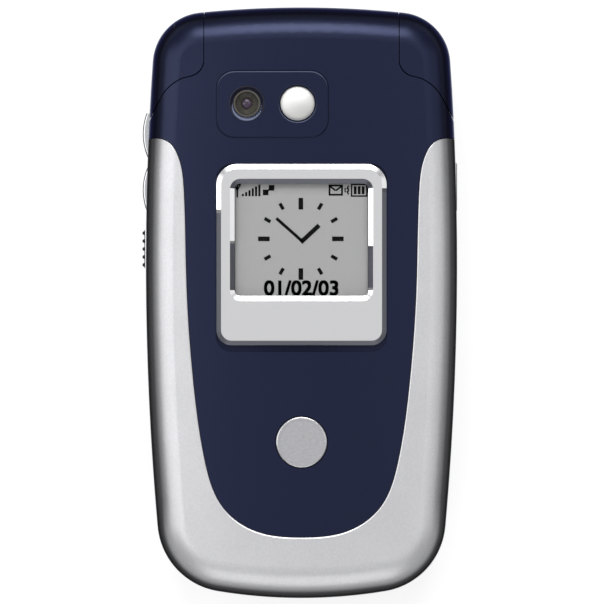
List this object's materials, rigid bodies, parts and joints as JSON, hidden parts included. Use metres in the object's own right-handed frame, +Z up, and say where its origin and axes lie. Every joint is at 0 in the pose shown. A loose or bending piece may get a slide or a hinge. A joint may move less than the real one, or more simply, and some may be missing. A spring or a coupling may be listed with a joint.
{
  "type": "flip phone",
  "caption": "Closed clamshell phone with a raised outer display, lens and mirror on its lid, a flared-knuckle hinge and a keypad inside.",
  "frame": {"origin": "centre of the back face, on the surface the closed phone lies on", "axes": "+Z up through the thickness to the lid's outer face, +Y along the length to the hinge, +X to the right seen from above"},
  "size_m": [0.0483, 0.09, 0.024],
  "materials": {
    "blue_plastic": "metallic dark blue paint, satin",
    "silver_plastic": "silver paint, satin",
    "inner_plastic": "silver paint, satin",
    "bezel_metal": "plated, satin with bright bevels",
    "badge_metal": "brushed",
    "mirror_face": "polished convex",
    "clear_window": "clear moulded",
    "outer_lcd": "grey liquid-crystal display",
    "inner_lcd": "dark display",
    "camera_black": "black lens barrel",
    "ring_plastic": "dark blue bevel",
    "key_silver": "silver paint",
    "nav_metal": "satin plated",
    "select_plastic": "dark blue paint",
    "call_keys": "silver paint",
    "side_key_plastic": "satin silver",
    "rubber_black": "soft",
    "steel": "plain",
    "tinned_steel": "tinned",
    "contact_gold": "gold plated",
    "board_green": "solder mask",
    "battery_wrap": "dark wrap",
    "dome_film": "film over metal domes",
    "black_plastic": "moulded"
  },
  "bodies": {
    "base": {"rear_housing": "blue_plastic", "front_housing": "blue_plastic", "keypad_fascia": "silver_plastic", "battery_pack": "battery_wrap", "battery_contacts": "contact_gold", "main_board": "board_green", "shield_cans": "tinned_steel", "sim_card_holder": "tinned_steel", "microphone": "black_plastic", "loudspeaker": "black_plastic", "vibration_motor": "tinned_steel", "antenna": "black_plastic", "usb_port": "tinned_steel", "headset_jack": "black_plastic", "housing_screws": "steel", "dome_sheet": "dome_film", "hinge_cam": "steel", "hinge_sleeve": "steel"},
    "lid": {"lid_outer_housing": "blue_plastic", "lid_side_frame": "silver_plastic", "lid_inner_housing": "inner_plastic", "display_bezel": "bezel_metal", "outer_display_window": "clear_window", "outer_display": "outer_lcd", "camera_module": "camera_black", "camera_ring": "ring_plastic", "camera_window": "clear_window", "portrait_mirror": "mirror_face", "badge_disc": "badge_metal", "inner_display_window": "clear_window", "inner_display": "inner_lcd", "lid_board": "board_green", "earpiece": "black_plastic", "lid_bumpers": "rubber_black", "lid_screws": "steel", "hinge_cartridge": "steel"},
    "battery_cover": {"battery_cover": "blue_plastic"},
    "vibration_weight": {"vibration_weight": "steel"},
    "volume_rocker": {"volume_rocker": "side_key_plastic"},
    "ribbed_side_key": {"ribbed_side_key": "side_key_plastic"},
    "slim_side_key": {"slim_side_key": "side_key_plastic"},
    "nav_ring": {"nav_ring": "nav_metal"},
    "key_1": {"key_1": "key_silver"},
    "key_2": {"key_2": "key_silver"},
    "key_3": {"key_3": "key_silver"},
    "key_4": {"key_4": "key_silver"},
    "key_5": {"key_5": "key_silver"},
    "key_6": {"key_6": "key_silver"},
    "key_7": {"key_7": "key_silver"},
    "key_8": {"key_8": "key_silver"},
    "key_9": {"key_9": "key_silver"},
    "key_star": {"key_star": "key_silver"},
    "key_0": {"key_0": "key_silver"},
    "key_hash": {"key_hash": "key_silver"},
    "soft_key_left": {"soft_key_left": "key_silver"},
    "soft_key_right": {"soft_key_right": "key_silver"},
    "send_key": {"send_key": "call_keys"},
    "end_key": {"end_key": "call_keys"},
    "clear_key": {"clear_key": "key_silver"},
    "select_key": {"select_key": "select_plastic"}
  },
  "joints": [
    {"name": "lid_hinge", "type": "hinge", "parent": "base", "child": "lid", "pos_m": [0, 0.04015, 0.01875], "axis": [-1, 0, 0], "range_deg": [0, 160]},
    {"name": "cover_slide", "type": "slide", "parent": "base", "child": "battery_cover", "axis": [0, -1, 0], "range_m": [0, 0.01]},
    {"name": "motor_spin", "type": "hinge", "parent": "base", "child": "vibration_weight", "pos_m": [-0.0165, 0.0315, 0.0044], "axis": [1, 0, 0], "continuous": true},
    {"name": "volume_rock", "type": "hinge", "parent": "base", "child": "volume_rocker", "pos_m": [-0.02283, 0.0216, 0.00926], "axis": [0, 0, 1], "range_deg": [-2, 2], "stiffness_Nm_per_rad": 0.17},
    {"name": "ribbed_key_press", "type": "slide", "parent": "base", "child": "ribbed_side_key", "axis": [1, 0, 0], "range_m": [0, 0.0003], "stiffness_N_per_m": 4000},
    {"name": "slim_key_press", "type": "slide", "parent": "base", "child": "slim_side_key", "axis": [-1, 0, 0], "range_m": [0, 0.00025], "stiffness_N_per_m": 4000},
    {"name": "nav_tilt", "type": "hinge", "parent": "base", "child": "nav_ring", "pos_m": [0, 0.0145, 0.0123], "axis": [1, 0, 0], "range_deg": [-2, 2], "stiffness_Nm_per_rad": 0.2},
    {"name": "key_1_press", "type": "slide", "parent": "base", "child": "key_1", "axis": [0, 0, -1], "range_m": [0, 0.0003], "stiffness_N_per_m": 4000},
    {"name": "key_2_press", "type": "slide", "parent": "base", "child": "key_2", "axis": [0, 0, -1], "range_m": [0, 0.0003], "stiffness_N_per_m": 4000},
    {"name": "key_3_press", "type": "slide", "parent": "base", "child": "key_3", "axis": [0, 0, -1], "range_m": [0, 0.0003], "stiffness_N_per_m": 4000},
    {"name": "key_4_press", "type": "slide", "parent": "base", "child": "key_4", "axis": [0, 0, -1], "range_m": [0, 0.0003], "stiffness_N_per_m": 4000},
    {"name": "key_5_press", "type": "slide", "parent": "base", "child": "key_5", "axis": [0, 0, -1], "range_m": [0, 0.0003], "stiffness_N_per_m": 4000},
    {"name": "key_6_press", "type": "slide", "parent": "base", "child": "key_6", "axis": [0, 0, -1], "range_m": [0, 0.0003], "stiffness_N_per_m": 4000},
    {"name": "key_7_press", "type": "slide", "parent": "base", "child": "key_7", "axis": [0, 0, -1], "range_m": [0, 0.0003], "stiffness_N_per_m": 4000},
    {"name": "key_8_press", "type": "slide", "parent": "base", "child": "key_8", "axis": [0, 0, -1], "range_m": [0, 0.0003], "stiffness_N_per_m": 4000},
    {"name": "key_9_press", "type": "slide", "parent": "base", "child": "key_9", "axis": [0, 0, -1], "range_m": [0, 0.0003], "stiffness_N_per_m": 4000},
    {"name": "key_star_press", "type": "slide", "parent": "base", "child": "key_star", "axis": [0, 0, -1], "range_m": [0, 0.0003], "stiffness_N_per_m": 4000},
    {"name": "key_0_press", "type": "slide", "parent": "base", "child": "key_0", "axis": [0, 0, -1], "range_m": [0, 0.0003], "stiffness_N_per_m": 4000},
    {"name": "key_hash_press", "type": "slide", "parent": "base", "child": "key_hash", "axis": [0, 0, -1], "range_m": [0, 0.0003], "stiffness_N_per_m": 4000},
    {"name": "soft_key_left_press", "type": "slide", "parent": "base", "child": "soft_key_left", "axis": [0, 0, -1], "range_m": [0, 0.0003], "stiffness_N_per_m": 4000},
    {"name": "soft_key_right_press", "type": "slide", "parent": "base", "child": "soft_key_right", "axis": [0, 0, -1], "range_m": [0, 0.0003], "stiffness_N_per_m": 4000},
    {"name": "send_key_press", "type": "slide", "parent": "base", "child": "send_key", "axis": [0, 0, -1], "range_m": [0, 0.0003], "stiffness_N_per_m": 4000},
    {"name": "end_key_press", "type": "slide", "parent": "base", "child": "end_key", "axis": [0, 0, -1], "range_m": [0, 0.0003], "stiffness_N_per_m": 4000},
    {"name": "clear_key_press", "type": "slide", "parent": "base", "child": "clear_key", "axis": [0, 0, -1], "range_m": [0, 0.0003], "stiffness_N_per_m": 4000},
    {"name": "select_key_press", "type": "slide", "parent": "base", "child": "select_key", "axis": [0, 0, -1], "range_m": [0, 0.0003], "stiffness_N_per_m": 4000}
  ]
}
